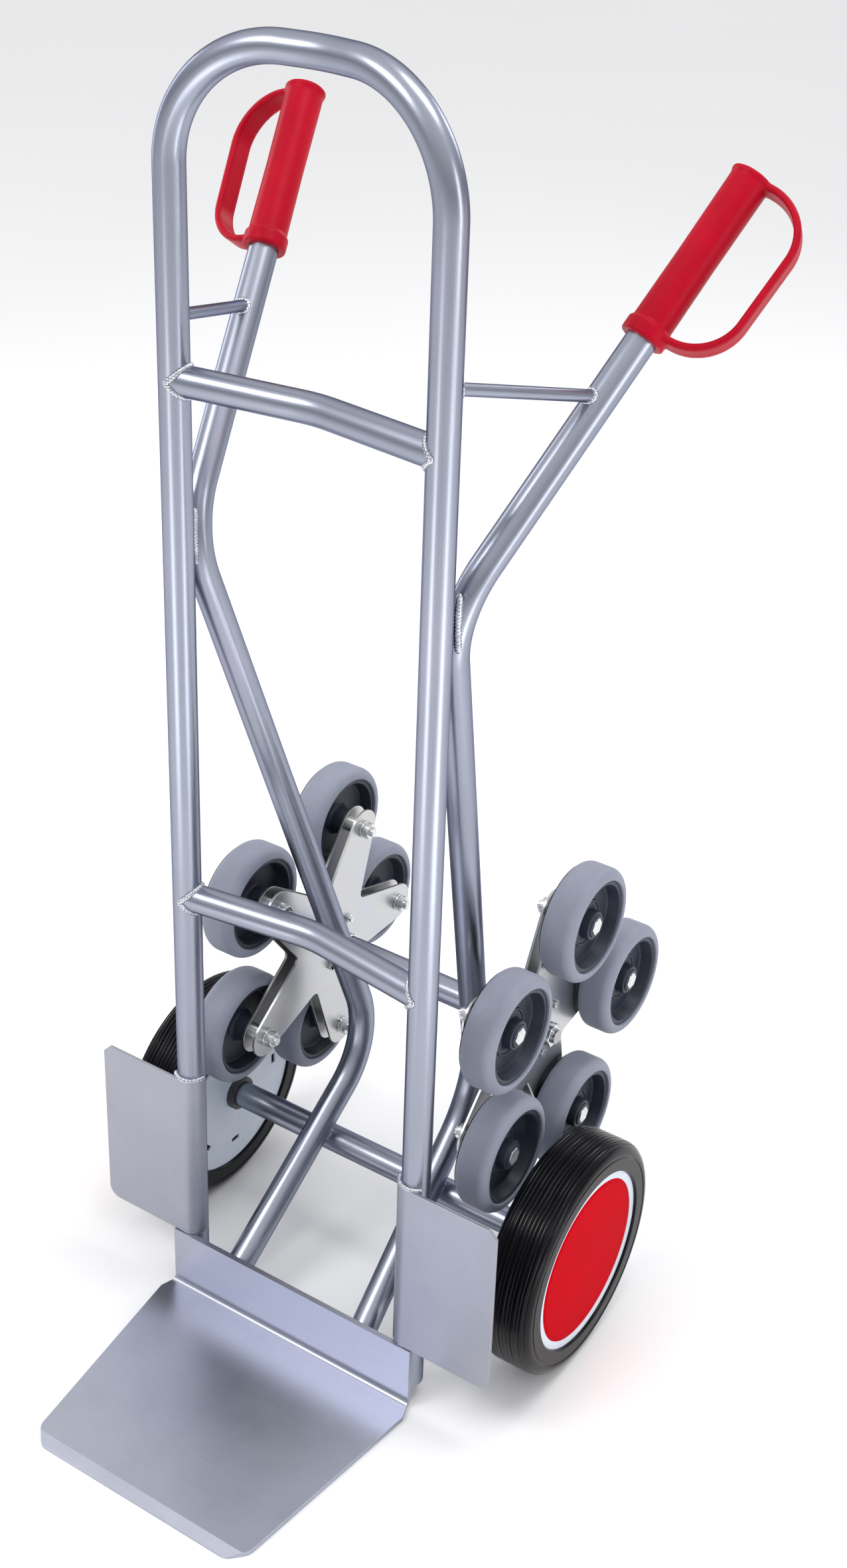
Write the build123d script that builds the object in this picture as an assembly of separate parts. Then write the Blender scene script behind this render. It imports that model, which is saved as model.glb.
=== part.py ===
from build123d import *
import os
from math import cos, sin, radians, hypot, sqrt

os.makedirs("parts", exist_ok=True)

# The trolley stands on +Z up, with its load plate towards -Y and its wheels towards +Y.
# The origin is the centre of the load plate's underside. All sizes are in millimetres.

# ---- driving sizes: frame tubes ----
tube_d = 30.0            # outer diameter of every frame tube
tube_wall = 2.5          # wall of every frame tube
frame_half = 147.0       # upright axis to the middle plane
frame_height = 1407.0    # floor to the top of the arch
arch_radius = 112.0      # axis radius of the arch's two corners
arch_bow = 24.0          # how far the arch's middle stands to the rear
bar_bow = 20.0           # the same for both crossbars
bow_radius = 130.0       # axis radius of the kink in the middle of the bowed tubes
upper_bar_drop = 325.0   # top of the arch to the upper crossbar's axis
lower_bar_z = 520.0      # lower crossbar axis
foot_z = 20.0            # lower end of the uprights

# ---- driving sizes: load plate and wing plates ----
toe_sheet = 6.0          # sheet of the load plate
toe_depth = 258.0        # flange front face to the front edge
toe_half_front = 138.0   # half width at the front edge
toe_half_rear = 166.0    # half width just before the bend
flange_beyond = 13.0     # flange end beyond the upright's axis
flange_height = 79.0     # floor to the top of the flange
toe_bend = 6.0           # inner radius of the bend
toe_corner = 17.0        # cut at the two front corners
lip_depth = 12.0         # length of the bevelled lip
lip_edge = 2.0           # thickness left at the lip's front edge
wing_sheet = 4.0         # sheet of the wing plates
wing_outer = 256.0       # outer edge of the wing plates to the middle plane
wing_low = 79.5          # lower edge of the wing plates
wing_high = 292.0        # upper edge of the wing plates
wing_top_corner = 9.0
wing_low_corner = 14.0

# ---- driving sizes: handle and brace tubes, from the upright's plane ----
elbow_side = 3.0         # where the two upper runs meet, outside the upright's axis
elbow_z = 923.6
elbow_radius = 99.0      # axis radius of the upper bend
weld_gap = 0.1           # between tubes that lie side by side and are welded
heel_out = 73.0          # where the two lower runs meet
heel_back = 232.8
heel_rise = 98.4         # the same corner above the axle
heel_radius = 98.0       # axis radius of the lower bend
handle_spread = 104.5    # upper end of the tube, outside the upright's axis
handle_end_back = 332.0
handle_end_z = 1271.5
toe_end_out = 85.5       # where the lower run meets the flange
toe_end_z = 38.0
strut_d = 12.0           # rod between the upright and the handle tube
strut_rise = 60.0        # rod above the upper crossbar, at the upright
strut_reach = 0.50       # where the rod meets the handle run, as a share of it

# ---- driving sizes: grips ----
grip_d = 39.0            # barrel
grip_length = 182.0      # along the tube
grip_tip = 4.0           # closed end beyond the tube
collar_d = 44.0          # lower collar
collar_length = 15.0
rim_d = 42.0             # upper rim
rim_length = 5.0
guard_turn = 13.0        # guard's plane turned to the rear about the tube, in degrees
guard_reach = 79.0       # tube axis to the guard's outer face
guard_lean = 5.0         # how much nearer the tube its lower corner is
guard_low = 6.0          # guard's lower face above the grip's lower end
guard_thick = 9.0
guard_width = 24.0
guard_low_radius = 52.0  # outer corner radii of the guard
guard_top_radius = 54.0

# ---- driving sizes: main wheels ----
wheel_d = 264.0
wheel_width = 62.0
tyre_thick = 31.0        # tread to the rim
tyre_shoulder = 13.0
groove_count = 5
groove_width = 2.4
groove_depth = 2.2
rim_wall = 5.0
rim_lip = 9.0            # radial width of the rim's outer lip
rim_lip_length = 7.0
rim_inset = 3.0          # rim edge behind the tyre's side
disc_sheet = 3.0         # inner disc of the rim
slot_count = 8
slot_long = 13.0
slot_wide = 6.0
slot_circle_d = 146.0
hub_d = 44.0
bush_wall = 4.0
cap_sheet = 2.5
cap_skirt = 10.0         # length of the cap's skirt
shaft_recess = 4.5       # shaft end behind the cap
shaft_d = 20.0
running_fit = 0.05       # radial clearance of every turning fit
axle_play = 1.0          # between the axle shaft and the tube round it
axle_wall = 4.0
collar_gap = 0.5         # side play beside each turning hub
axle_collar = 8.0        # thickness of the collar beside each main wheel
axle_collar_d = 40.0
ring_d = 32.0            # retaining ring outside each main wheel
ring_thick = 2.5
ring_recess = 2.5        # retaining ring behind the shaft's end

# ---- driving sizes: stars ----
star_radius = 135.0      # star shaft to the small wheels' axles
star_right_turn = 72.8   # first arm from +Y towards +Z
star_left_turn = 63.6
star_arms = 5
star_root_d = 86.0       # the arms narrow from a circle of this size round the shaft
star_tip_d = 46.0        # to one of this size round each wheel bolt
star_notch = 8.0         # radius between two arms
star_sheet = 3.0
star_gap = 12.0          # between the two plates
star_clear = 4.5         # small wheels' path to the axle tube
star_side_clear = 1.5    # bolt ends to the braces
star_hub_d = 34.0
star_hub_inboard = 24.0  # hub on the inner side of the plates
star_flange_d = 84.0     # flange of the hub, between the plates
star_flange = 4.0
star_hub_proud = 3.0     # hub end beyond the outer plate
star_screw_circle_d = 66.0
star_screw_d = 6.0
star_screws = 3
screw_head_d = 10.0
screw_head = 6.0
screw_nut = 5.0
screw_tail = 3.0         # thread beyond the nut
star_shaft_d = 16.0
star_nut_flats = 24.0
star_nut_thick = 13.0
washer_thick = 2.5

# ---- driving sizes: small wheels ----
small_d = 130.0
small_width = 40.0
small_tyre_thick = 12.5
small_shoulder = 12.0
small_rim_wall = 5.0
small_rim_inset = 3.5
small_web = 5.0
small_hub_d = 32.0
small_hub_out = 10.0     # hub end behind the tyre's outer side
small_side_gap = 3.0     # between the outer star plate and the tyre
wheel_spacing = 19.0     # between the small wheels and the main wheel
wheel_bolt_d = 10.0
sleeve_d = 14.0          # bearing sleeve on the bolt
spacer_d = 18.0          # spacer tube between the plates
bolt_head_flats = 17.0
bolt_head = 6.5
bolt_washer = 1.0        # play between the hub and the bolt's head
nut_thick = 8.5
bolt_tail = 4.0          # thread beyond the nut

# ---- derived places ----
tube_r = tube_d / 2
plane_y = toe_depth / 2 + toe_sheet + tube_r           # plane of the uprights
axle_z = wheel_d / 2
heel_z = axle_z + heel_rise
axle_tube_d = shaft_d + 2 * axle_play + 2 * axle_wall
brace_to_axle = tube_r + axle_tube_d / 2               # between the two axes where they touch
upper_bar_z = frame_height - upper_bar_drop
strut_z = upper_bar_z + strut_rise
flange_half = frame_half + flange_beyond
elbow_out = frame_half + elbow_side
tyre_inner_d = wheel_d - 2 * tyre_thick
small_core_d = small_d - 2 * small_tyre_thick


def save(shape, name):
    """Writes one node. A list is a group of separate solids."""
    if isinstance(shape, (list, ShapeList)):
        shape = Compound(children=[piece for piece in shape])
    export_step(shape, "parts/" + name + ".step")


def mirrored(shape):
    return mirror(shape, about=Plane.YZ)


def swept(points, radii, radius):
    """Solid rod of the given radius along straight runs joined by tangent arcs."""
    path = FilletPolyline(*points, radius=radii)
    start = Plane(origin=path @ 0, z_dir=path % 0)
    return sweep(start * Circle(radius), path=path)


def tube(points, radii, diameter, wall):
    """Tube along straight runs joined by tangent arcs, open at both ends."""
    return swept(points, radii, diameter / 2) - swept(points, radii, diameter / 2 - wall)


def rod(start, end, diameter):
    axis = Vector(*end) - Vector(*start)
    plane = Plane(origin=start, z_dir=axis)
    return plane * Cylinder(diameter / 2, axis.length, align=(Align.CENTER, Align.CENTER, Align.MIN))


def x_rod(low, high, diameter, y=0.0, z=0.0):
    return rod((low, y, z), (high, y, z), diameter)


def x_ring(low, high, outer_d, inner_d, y=0.0, z=0.0):
    return x_rod(low, high, outer_d, y, z) - x_rod(low - 1, high + 1, inner_d, y, z)


def x_hex(low, high, flats, hole_d, y=0.0, z=0.0):
    """Hexagon prism along X, with a chamfered outer edge and an optional bore."""
    plane = Plane(origin=(low, y, z), x_dir=(0, 1, 0), z_dir=(1, 0, 0))
    prism = extrude(plane * RegularPolygon(flats / 2, 6, major_radius=False), high - low)
    corner_cut = 0.56 * flats
    prism = prism & (plane * Cylinder(corner_cut, high - low, align=(Align.CENTER, Align.CENTER, Align.MIN)))
    if hole_d > 0:
        prism = prism - x_rod(low - 1, high + 1, hole_d, y, z)
    return prism


# ---- handle and brace geometry ----
heel = (heel_out, plane_y + heel_back, heel_z)
toe_end = (toe_end_out, plane_y - tube_r, toe_end_z)
handle_end = (frame_half + handle_spread, plane_y + handle_end_back, handle_end_z)


def bend_front(corner):
    """Smallest Y that the axis of the upper bend reaches, for a corner where its runs meet."""
    middle = Vector(*corner)
    coming = (middle - Vector(*heel)).normalized()
    going = (Vector(*handle_end) - middle).normalized()
    half_turn = radians(coming.get_angle(going)) / 2
    inward = (going - coming).normalized()
    along = (going + coming).normalized()
    centre = middle + inward * (elbow_radius / cos(half_turn))
    return centre.Y - elbow_radius * hypot(inward.Y, along.Y)


# The bend lies against the rear of the upright. Moving its corner changes the turn a little,
# so the corner is moved a few times.
elbow = (elbow_out, plane_y, elbow_z)
for attempt in range(4):
    short = plane_y + tube_d + weld_gap - bend_front(elbow)
    elbow = (elbow_out, elbow[1] + short, elbow_z)


def run_direction(start, end):
    """Unit direction of a run as seen from the side."""
    length = hypot(end[1] - start[1], end[2] - start[2])
    return ((end[1] - start[1]) / length, (end[2] - start[2]) / length)


brace_y, brace_z = run_direction(heel, elbow)
lower_y, lower_z = run_direction(heel, toe_end)
# The axle lies against the underside of the lower run, at the main wheels' own height.
axle_drop = (heel[2] - axle_z + lower_y * brace_to_axle) / -lower_z
axle_y = heel[1] + lower_y * axle_drop - lower_z * brace_to_axle
# The star shaft lies against the rear of the upper run, and just as far up it as the small
# wheels need to pass the axle tube.
star_reach = star_radius + small_d / 2 + axle_tube_d / 2 + star_clear
start_y = heel[1] + brace_z * tube_d - axle_y
start_z = heel[2] - brace_y * tube_d - axle_z
start_along = start_y * brace_y + start_z * brace_z
star_lift = sqrt(start_along**2 - start_y**2 - start_z**2 + star_reach**2) - start_along
star_y = axle_y + start_y + brace_y * star_lift
star_z = axle_z + start_z + brace_z * star_lift

# ---- places across the trolley, from the braces outward ----
brace_lean = (elbow[0] - heel[0]) / (elbow[2] - heel[2])
brace_side_x = heel[0] + brace_lean * (star_z + star_radius - heel[2]) + tube_r
star_inner_x = brace_side_x + star_side_clear + bolt_tail + nut_thick + washer_thick
star_outer_plate_x = star_inner_x + star_sheet + star_gap
star_face_x = star_outer_plate_x + star_sheet          # outer face of the outer plate
star_hub_low = star_inner_x - star_hub_inboard
star_hub_high = star_face_x + star_hub_proud
star_flange_low = star_outer_plate_x - star_flange
star_nut_low = star_hub_high + collar_gap + washer_thick
star_shaft_half = star_nut_low + star_nut_thick + bolt_tail
star_cross_half = star_hub_low - washer_thick - 2 * collar_gap
small_inner_x = star_face_x + small_side_gap
small_outer_x = small_inner_x + small_width
wheel_inner_x = small_outer_x + wheel_spacing
wheel_outer_x = wheel_inner_x + wheel_width
axle_half = wheel_inner_x - axle_collar - 2 * collar_gap


# ---- frame ----
def upright_solids():
    """Solid rods round the uprights, a weld gap larger, to cope the tubes that meet them."""
    rods = []
    for side in (-1, 1):
        x = side * frame_half
        rods.append(rod((x, plane_y, foot_z), (x, plane_y, frame_height), tube_d + 2 * weld_gap))
    return rods


def main_frame_tube():
    top = frame_height - tube_r
    points = [
        (-frame_half, plane_y, foot_z),
        (-frame_half, plane_y, top),
        (0, plane_y + arch_bow, top),
        (frame_half, plane_y, top),
        (frame_half, plane_y, foot_z),
    ]
    return tube(points, [arch_radius, bow_radius, arch_radius], tube_d, tube_wall)


def crossbar(height):
    points = [
        (-frame_half, plane_y, height),
        (0, plane_y + bar_bow, height),
        (frame_half, plane_y, height),
    ]
    bar = tube(points, [bow_radius], tube_d, tube_wall)
    for upright in upright_solids():
        bar = bar - upright
    return bar


def brace_points():
    return [toe_end, heel, elbow, handle_end]


def brace_tube():
    flange_back = plane_y - tube_r
    # The lower run is carried past the flange, then cut flush with the flange's rear face.
    run = Vector(*toe_end) - Vector(*heel)
    past = Vector(*heel) + run * (1 + 2 * tube_d / run.length)
    points = [(past.X, past.Y, past.Z), heel, elbow, handle_end]
    body = tube(points, [heel_radius, elbow_radius], tube_d, tube_wall)
    front = Pos(0, flange_back - frame_half, 0) * Box(4 * frame_half, 2 * frame_half, 4 * frame_half)
    return body - front


def strut():
    handle = Vector(*elbow) + (Vector(*handle_end) - Vector(*elbow)) * strut_reach
    body = rod((frame_half, plane_y, strut_z), (handle.X, handle.Y, handle.Z), strut_d)
    body = body - rod((frame_half, plane_y, foot_z), (frame_half, plane_y, frame_height), tube_d)
    return body - rod(elbow, handle_end, tube_d)


def toe_plate():
    """Bent sheet: load plate with a bevelled lip, and an upright flange."""
    rear = toe_depth / 2 + toe_sheet
    front = -toe_depth / 2
    outline = [
        (front, 0),
        (rear, 0),
        (rear, flange_height),
        (rear - toe_sheet, flange_height),
        (rear - toe_sheet, toe_sheet),
        (front + lip_depth, toe_sheet),
        (front, lip_edge),
    ]
    profile = make_face(Plane.YZ * Polyline(*outline, close=True))
    inner = profile.vertices().sort_by_distance((0, rear - toe_sheet, toe_sheet))[0]
    profile = fillet(inner, toe_bend)
    outer = profile.vertices().sort_by_distance((0, rear, 0))[0]
    profile = fillet(outer, toe_bend + toe_sheet)
    body = extrude(profile, max(toe_half_rear, flange_half) + toe_sheet, both=True)
    # Seen from above: the plate narrows to the front and is notched in beside the bend.
    bend_y = rear - toe_sheet - toe_bend
    plan = [
        (-toe_half_front + toe_corner, front),
        (toe_half_front - toe_corner, front),
        (toe_half_front, front + toe_corner),
        (toe_half_rear, bend_y - 2 * toe_bend),
        (flange_half, bend_y + toe_bend),
        (flange_half, rear + 1),
        (-flange_half, rear + 1),
        (-flange_half, bend_y + toe_bend),
        (-toe_half_rear, bend_y - 2 * toe_bend),
        (-toe_half_front, front + toe_corner),
    ]
    face = make_face(Polyline(*plan, close=True))
    corners = face.vertices().sort_by(Axis.Y)[:4]
    face = fillet(corners, toe_corner * 0.8)
    return body & extrude(face, flange_height)


def wing_plate():
    """Sheet that curls round the front of the upright and stands out to the side."""
    inner = tube_r
    outer = tube_r + wing_sheet
    sheet_mid = (inner + outer) / 2
    width = wing_outer - frame_half
    curl = Pos(frame_half, plane_y, 0) * (Circle(outer) - Circle(inner))
    corner = Pos(frame_half - outer, plane_y - outer, 0) * Rectangle(outer, outer, align=Align.MIN)
    flat = Pos(frame_half, plane_y - outer, 0) * Rectangle(width, wing_sheet, align=Align.MIN)
    section = (curl & corner) + flat
    body = Pos(0, 0, wing_low) * extrude(section, wing_high - wing_low)
    edges = body.edges().filter_by(Axis.Y).group_by(Axis.X)[-1].sort_by(Axis.Z)
    body = chamfer(edges[-1], wing_top_corner)
    edges = body.edges().filter_by(Axis.Y).sort_by_distance((wing_outer, plane_y - sheet_mid, wing_low))
    return fillet(edges[0], wing_low_corner)


def grip():
    """Closed D: a barrel on the tube's end, with a guard strap on its outer side."""
    end = Vector(*handle_end)
    along = (end - Vector(*elbow)).normalized()
    base = end - along * (grip_length - grip_tip)
    plane = Plane(origin=base, z_dir=along)
    low = (Align.CENTER, Align.CENTER, Align.MIN)
    barrel = plane * Cylinder(grip_d / 2, grip_length, align=low)
    collar = plane * Cylinder(collar_d / 2, collar_length, align=low)
    rim = plane * Pos(0, 0, grip_length - rim_length) * Cylinder(rim_d / 2, rim_length, align=low)
    outward = guard_direction(along)
    flat = Plane(origin=base, x_dir=outward, z_dir=outward.cross(along))
    strap = guard_outline(0) - guard_outline(guard_thick)
    guard = extrude(flat * strap, guard_width / 2, both=True)
    body = barrel + collar + rim + guard
    bore = plane * Pos(0, 0, -1) * Cylinder(tube_r, grip_length - grip_tip + 1, align=low)
    return body - bore


def guard_direction(along):
    """Unit vector square to the tube, from its axis to the guard's middle."""
    outward = (Vector(1, 0, 0) - along * along.X).normalized()
    rearward = along.cross(outward)
    return outward * cos(radians(guard_turn)) + rearward * sin(radians(guard_turn))


def guard_outline(inset):
    """Half of a rounded D, from the tube's axis outward; inset gives its inner line."""
    low = (guard_reach - guard_lean - inset, guard_low + inset)
    top = (guard_reach - inset, grip_length - inset)
    face = make_face(Polyline((0, low[1]), low, top, (0, top[1]), close=True))
    face = fillet(face.vertices().sort_by_distance(low)[0], guard_low_radius - inset)
    return fillet(face.vertices().sort_by_distance(top)[0], guard_top_radius - inset)


save(main_frame_tube(), "main_frame_tube")
save(crossbar(upper_bar_z), "upper_crossbar")
save(crossbar(lower_bar_z), "lower_crossbar")
save(toe_plate(), "toe_plate")
right_brace = brace_tube()
save(right_brace, "right_handle_tube")
save(mirrored(right_brace), "left_handle_tube")
right_wing = wing_plate()
save(right_wing, "right_wing_plate")
save(mirrored(right_wing), "left_wing_plate")
right_grip = grip()
save(right_grip, "right_grip")
save(mirrored(right_grip), "left_grip")
right_strut = strut()
save([right_strut, mirrored(right_strut)], "handle_struts")


# ---- axle ----
def both_sides(piece):
    return [piece, mirrored(piece)]


def cross_tube(half, outer_d, bore_d, y, z):
    """Tube across the braces. It's coped where it lies against them."""
    body = x_ring(-half, half, outer_d, bore_d, y, z)
    for side in (-1, 1):
        points = [(side * p[0], p[1], p[2]) for p in brace_points()]
        body = body - swept(points, [heel_radius, elbow_radius], tube_r)
    return body


save(cross_tube(axle_half, axle_tube_d, axle_tube_d - 2 * axle_wall, axle_y, axle_z), "axle_tube")
shaft_half = wheel_outer_x - rim_inset - cap_sheet - shaft_recess
save(x_rod(-shaft_half, shaft_half, shaft_d, axle_y, axle_z), "axle_shaft")
collar_low = axle_half + collar_gap
axle_collar_piece = x_ring(collar_low, collar_low + axle_collar, axle_collar_d, shaft_d, axle_y, axle_z)
ring_low = shaft_half - ring_recess - ring_thick
retaining_ring = x_ring(ring_low, ring_low + ring_thick, ring_d, shaft_d, axle_y, axle_z)
save(both_sides(axle_collar_piece), "axle_collars")
save(both_sides(retaining_ring), "axle_retaining_rings")


# ---- main wheels ----
def main_tyre():
    """Ribbed solid tyre: a crowned tread with narrow grooves and rounded shoulders."""
    outline = Pos((wheel_inner_x + wheel_outer_x) / 2, (wheel_d + tyre_inner_d) / 4, 0) * Rectangle(
        wheel_width, (wheel_d - tyre_inner_d) / 2
    )
    tread = outline.vertices().sort_by(Axis.Y)[-2:]
    outline = fillet(tread, min(tyre_shoulder, 0.9 * tyre_thick))
    pitch = (wheel_width - 2 * tyre_shoulder) / (groove_count - 1)
    for index in range(groove_count):
        x = wheel_inner_x + tyre_shoulder + index * pitch
        outline = outline - Pos(x, wheel_d / 2, 0) * Rectangle(groove_width, 2 * groove_depth)
    return Pos(0, axle_y, axle_z) * revolve(outline, axis=Axis.X)


def main_rim():
    """Rim barrel with a slotted disc on its inner side and a hub through the middle."""
    low = wheel_inner_x + rim_inset
    high = wheel_outer_x - rim_inset
    barrel = x_ring(low, high, tyre_inner_d, tyre_inner_d - 2 * rim_wall)
    disc = x_rod(low, low + disc_sheet, tyre_inner_d - rim_wall)
    hub_high = ring_low - collar_gap
    hub = x_rod(wheel_inner_x, hub_high, hub_d)
    lip = x_ring(high - rim_lip_length, high, tyre_inner_d, tyre_inner_d - 2 * rim_lip)
    body = barrel + lip + disc + hub
    body = body - x_rod(wheel_inner_x - 1, wheel_outer_x, shaft_d + 2 * running_fit + 2 * bush_wall)
    for index in range(slot_count):
        slot = Pos(low + disc_sheet / 2, slot_circle_d / 2, 0) * Box(2 * disc_sheet, slot_wide, slot_long)
        body = body - Rot(360 * index / slot_count, 0, 0) * slot
    return Pos(0, axle_y, axle_z) * body


def main_bush():
    bore = shaft_d + 2 * running_fit
    return x_ring(wheel_inner_x, ring_low - collar_gap, bore + 2 * bush_wall, bore, axle_y, axle_z)


def main_cap():
    """Flat cap that clips into the rim's outer end."""
    high = wheel_outer_x - rim_inset
    outer = tyre_inner_d - 2 * rim_lip
    skirt = x_ring(high - cap_skirt, high, outer, outer - 2 * cap_sheet)
    body = x_rod(high - cap_sheet, high, outer) + skirt
    return Pos(0, axle_y, axle_z) * body


for name, piece in (
    ("wheel_tyre", main_tyre()),
    ("wheel_rim", main_rim()),
    ("wheel_bush", main_bush()),
    ("wheel_cap", main_cap()),
):
    save(piece, "right_" + name)
    save(mirrored(piece), "left_" + name)


# ---- stars ----
save(cross_tube(star_cross_half, tube_d, star_shaft_d, star_y, star_z), "star_cross_tube")
save(x_rod(-star_shaft_half, star_shaft_half, star_shaft_d, star_y, star_z), "star_shaft")
inner_washer_low = star_cross_half + collar_gap
star_fasteners = [
    x_ring(inner_washer_low, inner_washer_low + washer_thick, star_hub_d, star_shaft_d, star_y, star_z),
    x_ring(star_hub_high + collar_gap, star_nut_low, star_hub_d, star_shaft_d, star_y, star_z),
    x_hex(star_nut_low, star_nut_low + star_nut_thick, star_nut_flats, star_shaft_d, star_y, star_z),
]
save(star_fasteners + [mirrored(piece) for piece in star_fasteners], "star_shaft_fasteners")


def arm_angles(turn):
    return [turn - 360 * index / star_arms for index in range(star_arms)]


def around(piece, radius, angle):
    """Puts a piece built on the X axis at an angle round the star shaft."""
    y = star_y + radius * cos(radians(angle))
    z = star_z + radius * sin(radians(angle))
    return Pos(0, y, z) * piece


def star_plate(low, turn):
    """Flat star: arms that narrow to round tips, with a small radius between two arms."""
    root = Circle(star_root_d / 2)
    tip = Pos(star_radius, 0) * Circle(star_tip_d / 2)
    arm = make_hull(root.edges() + tip.edges())
    outline = root
    for angle in arm_angles(turn):
        outline = outline + Rot(0, 0, angle) * arm
    notches = outline.vertices().sort_by_distance((0, 0))[:star_arms]
    outline = fillet(notches, star_notch)
    plane = Plane(origin=(low, star_y, star_z), x_dir=(0, 1, 0), z_dir=(1, 0, 0))
    body = extrude(plane * outline, star_sheet)
    body = body - x_rod(low - 1, low + star_sheet + 1, star_hub_d, star_y, star_z)
    for angle in arm_angles(turn):
        body = body - around(x_rod(low - 1, low + star_sheet + 1, wheel_bolt_d), star_radius, angle)
    for angle in screw_angles(turn):
        hole = x_rod(low - 1, low + star_sheet + 1, star_screw_d)
        body = body - around(hole, star_screw_circle_d / 2, angle)
    return body


def screw_angles(turn):
    first = turn - 180 / star_arms
    return [first + 360 * index / star_screws for index in range(star_screws)]


def star_hub(turn):
    """Bearing hub with a flange between the plates, screwed to both of them."""
    bore = star_shaft_d + 2 * running_fit
    body = x_rod(star_hub_low, star_hub_high, star_hub_d, star_y, star_z)
    body = body + x_rod(star_flange_low, star_outer_plate_x, star_flange_d, star_y, star_z)
    body = body - x_rod(star_hub_low - 1, star_hub_high + 1, bore, star_y, star_z)
    for angle in screw_angles(turn):
        hole = x_rod(star_flange_low - 1, star_outer_plate_x + 1, star_screw_d)
        body = body - around(hole, star_screw_circle_d / 2, angle)
    return body


def star_screw_set(turn):
    """Clamping screws through both plates and the flange, each with a nut and a spacer."""
    pieces = []
    nut_low = star_inner_x - screw_nut
    for angle in screw_angles(turn):
        shank = x_rod(nut_low - screw_tail, star_face_x, star_screw_d)
        screw = shank + x_rod(star_face_x, star_face_x + screw_head, screw_head_d)
        nut = x_hex(nut_low, star_inner_x, screw_head_d, star_screw_d)
        spacer = x_ring(star_inner_x + star_sheet, star_flange_low, screw_head_d, star_screw_d)
        for piece in (screw, nut, spacer):
            pieces.append(around(piece, star_screw_circle_d / 2, angle))
    return pieces


# ---- small wheels ----
hub_outer_x = small_outer_x - small_hub_out
bolt_head_x = hub_outer_x + bolt_washer


def wheel_bolt():
    tail = star_inner_x - washer_thick - nut_thick - bolt_tail
    shank = x_rod(tail, bolt_head_x, wheel_bolt_d)
    return shank + x_hex(bolt_head_x, bolt_head_x + bolt_head, bolt_head_flats, 0)


def wheel_nut_set():
    washer = x_ring(star_inner_x - washer_thick, star_inner_x, 2 * wheel_bolt_d, wheel_bolt_d)
    high = star_inner_x - washer_thick
    return [washer, x_hex(high - nut_thick, high, bolt_head_flats, wheel_bolt_d)]


def wheel_sleeve_set():
    spacer = x_ring(star_inner_x + star_sheet, star_outer_plate_x, spacer_d, wheel_bolt_d)
    return [spacer, x_ring(star_face_x, bolt_head_x, sleeve_d, wheel_bolt_d)]


def small_tyre():
    """Soft grey tyre with well rounded shoulders, moulded round the core."""
    outline = Pos((small_inner_x + small_outer_x) / 2, (small_d + small_core_d) / 4, 0) * Rectangle(
        small_width, (small_d - small_core_d) / 2
    )
    shoulders = outline.vertices().sort_by(Axis.Y)[-2:]
    outline = fillet(shoulders, min(small_shoulder, 0.9 * small_tyre_thick))
    return revolve(outline, axis=Axis.X)


def small_core():
    """Plastic core: rim, thin web in the middle and a long hub."""
    middle = (small_inner_x + small_outer_x) / 2
    rim_low = small_inner_x + small_rim_inset
    rim_high = small_outer_x - small_rim_inset
    rim = x_ring(rim_low, rim_high, small_core_d, small_core_d - 2 * small_rim_wall)
    web = x_rod(middle - small_web / 2, middle + small_web / 2, small_core_d - small_rim_wall)
    hub = x_rod(star_face_x + collar_gap, hub_outer_x, small_hub_d)
    return rim + web + hub - x_rod(star_face_x, small_outer_x, sleeve_d + 2 * running_fit)


for side, turn in (("right", star_right_turn), ("left", star_left_turn)):
    pieces = {
        "star_inner_plate": star_plate(star_inner_x, turn),
        "star_outer_plate": star_plate(star_outer_plate_x, turn),
        "star_hub": star_hub(turn),
        "star_screws": star_screw_set(turn),
        "wheel_bolts": [around(wheel_bolt(), star_radius, a) for a in arm_angles(turn)],
        "wheel_nuts": [around(p, star_radius, a) for a in arm_angles(turn) for p in wheel_nut_set()],
        "wheel_sleeves": [around(p, star_radius, a) for a in arm_angles(turn) for p in wheel_sleeve_set()],
    }
    for index, angle in enumerate(arm_angles(turn)):
        pieces["small_tyre_" + str(index + 1)] = around(small_tyre(), star_radius, angle)
        pieces["small_core_" + str(index + 1)] = around(small_core(), star_radius, angle)
    for name, piece in pieces.items():
        if side == "left":
            piece = [mirrored(p) for p in piece] if isinstance(piece, list) else mirrored(piece)
        save(piece, side + "_" + name)

print("star shaft", round(star_y, 2), round(star_z, 2), "axle", round(axle_y, 2), round(axle_z, 2))
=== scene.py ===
# %% [markdown]
# A stair climbing trolley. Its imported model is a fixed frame: every tube, plate and wheel already has
# its place and size there, and each piece made here goes where the frame says.
# Round pieces are worked out again as smooth surfaces, because a highlight that runs down a tube shows
# every facet. Flat plates keep the frame's own shape and only get softened edges.

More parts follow.
